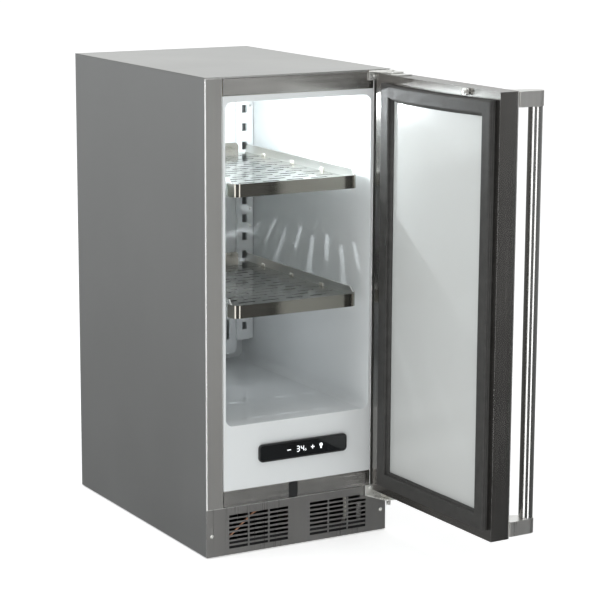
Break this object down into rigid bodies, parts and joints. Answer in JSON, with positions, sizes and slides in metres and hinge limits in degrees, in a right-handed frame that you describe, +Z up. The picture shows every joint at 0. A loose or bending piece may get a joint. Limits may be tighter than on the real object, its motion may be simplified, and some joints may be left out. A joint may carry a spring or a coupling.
{
  "type": "undercounter refrigerator",
  "caption": "Narrow undercounter refrigerator in brushed steel, with slotted pull-down shelves, a lit white compartment, and a side-hinged door with a bar handle standing open.",
  "frame": {"origin": "on the floor under the middle of the cabinet", "axes": "+X to the right seen from the front, the front faces -Y, +Z up"},
  "size_m": [0.4476, 0.9403, 0.871],
  "materials": {
    "stainless_panel": "brushed",
    "stainless_door": "brushed",
    "stainless_trim": "fine brushed",
    "stainless_deck": "brushed, slotted",
    "galvanised_steel": "galvanised",
    "plated_steel": "zinc plated",
    "white_liner": "glossy",
    "black_plastic": "satin",
    "natural_plastic": "satin",
    "display_panel": "glossy, dark",
    "circuit_board": "solder mask",
    "lamp_diffuser": "opal",
    "insulation": "foam",
    "gasket_vinyl": "matt",
    "black_paint": "semi gloss",
    "coil_metal": "mill",
    "copper_tube": "bare copper"
  },
  "bodies": {
    "cabinet": {"left_side_panel": "stainless_panel", "right_side_panel": "stainless_panel", "top_panel": "stainless_panel", "top_front_rail": "stainless_panel", "bottom_front_rail": "stainless_panel", "toe_grille": "stainless_panel", "rear_panel": "galvanised_steel", "rear_service_cover": "galvanised_steel", "base_pan": "galvanised_steel", "top_hinge_bracket": "plated_steel", "bottom_hinge_bracket": "plated_steel", "top_hinge_pin": "plated_steel", "bottom_hinge_pin": "plated_steel", "inner_liner": "white_liner", "evaporator_cover": "white_liner", "left_pilaster": "white_liner", "right_pilaster": "white_liner", "lamp_base": "white_liner", "power_inlet": "black_plastic", "door_sensor_window": "black_plastic", "control_bezel": "black_plastic", "condenser_fan_shroud": "black_plastic", "drain_pan": "black_plastic", "display_window": "display_panel", "control_board": "circuit_board", "lamp_lens": "lamp_diffuser", "insulation_foam": "insulation", "compressor": "black_paint", "condenser_fan_motor": "black_paint", "evaporator_fan_motor": "black_paint", "evaporator_coil": "coil_metal", "condenser_coil": "copper_tube", "filter_drier": "copper_tube"},
    "door": {"door_outer_skin": "stainless_door", "door_inner_panel": "white_liner", "door_foam": "insulation", "door_gasket": "gasket_vinyl", "handle_tube": "stainless_trim", "top_handle_bracket": "stainless_door", "bottom_handle_bracket": "stainless_door", "lock_barrel": "stainless_trim", "top_hinge_bushing": "natural_plastic", "bottom_hinge_bushing": "natural_plastic", "top_door_hinge_plate": "plated_steel", "bottom_door_hinge_plate": "plated_steel"},
    "lock_cam": {"lock_cam": "plated_steel"},
    "upper_shelf": {"upper_shelf_trim": "stainless_trim", "upper_shelf_deck": "stainless_deck", "upper_shelf_left_bracket": "stainless_trim", "upper_shelf_right_bracket": "stainless_trim"},
    "lower_shelf": {"lower_shelf_trim": "stainless_trim", "lower_shelf_deck": "stainless_deck", "lower_shelf_left_bracket": "stainless_trim", "lower_shelf_right_bracket": "stainless_trim"},
    "condenser_fan": {"condenser_fan_blade": "natural_plastic"},
    "evaporator_fan": {"evaporator_fan_blade": "black_plastic"},
    "front_left_leg": {"front_left_levelling_leg": "plated_steel"},
    "front_right_leg": {"front_right_levelling_leg": "plated_steel"},
    "rear_left_leg": {"rear_left_levelling_leg": "plated_steel"},
    "rear_right_leg": {"rear_right_levelling_leg": "plated_steel"}
  },
  "joints": [
    {"name": "door_swing", "type": "hinge", "parent": "cabinet", "child": "door", "pos_m": [0.1713, -0.305, 0.47], "axis": [0, 0, 1], "range_deg": [-91.3, 25]},
    {"name": "lock_turn", "type": "hinge", "parent": "door", "child": "lock_cam", "pos_m": [0.15936, -0.57234, 0.857], "axis": [-0.9997, -0.0227, 0], "range_deg": [0, 90]},
    {"name": "upper_shelf_tilt", "type": "hinge", "parent": "cabinet", "child": "upper_shelf", "pos_m": [0, 0.1645, 0.6825], "axis": [-1, 0, 0], "range_deg": [0, 8]},
    {"name": "lower_shelf_tilt", "type": "hinge", "parent": "cabinet", "child": "lower_shelf", "pos_m": [0, 0.1645, 0.4635], "axis": [-1, 0, 0], "range_deg": [0, 8]},
    {"name": "condenser_fan_spin", "type": "hinge", "parent": "cabinet", "child": "condenser_fan", "pos_m": [-0.084, -0.163, 0.0818], "axis": [0, 1, 0], "continuous": true},
    {"name": "evaporator_fan_spin", "type": "hinge", "parent": "cabinet", "child": "evaporator_fan", "pos_m": [0, 0.188, 0.4], "axis": [0, 1, 0], "continuous": true},
    {"name": "front_left_leg_adjust", "type": "slide", "parent": "cabinet", "child": "front_left_leg", "axis": [0, 0, -1], "range_m": [0, 0.02]},
    {"name": "front_right_leg_adjust", "type": "slide", "parent": "cabinet", "child": "front_right_leg", "axis": [0, 0, -1], "range_m": [0, 0.02]},
    {"name": "rear_left_leg_adjust", "type": "slide", "parent": "cabinet", "child": "rear_left_leg", "axis": [0, 0, -1], "range_m": [0, 0.02]},
    {"name": "rear_right_leg_adjust", "type": "slide", "parent": "cabinet", "child": "rear_right_leg", "axis": [0, 0, -1], "range_m": [0, 0.02]}
  ]
}
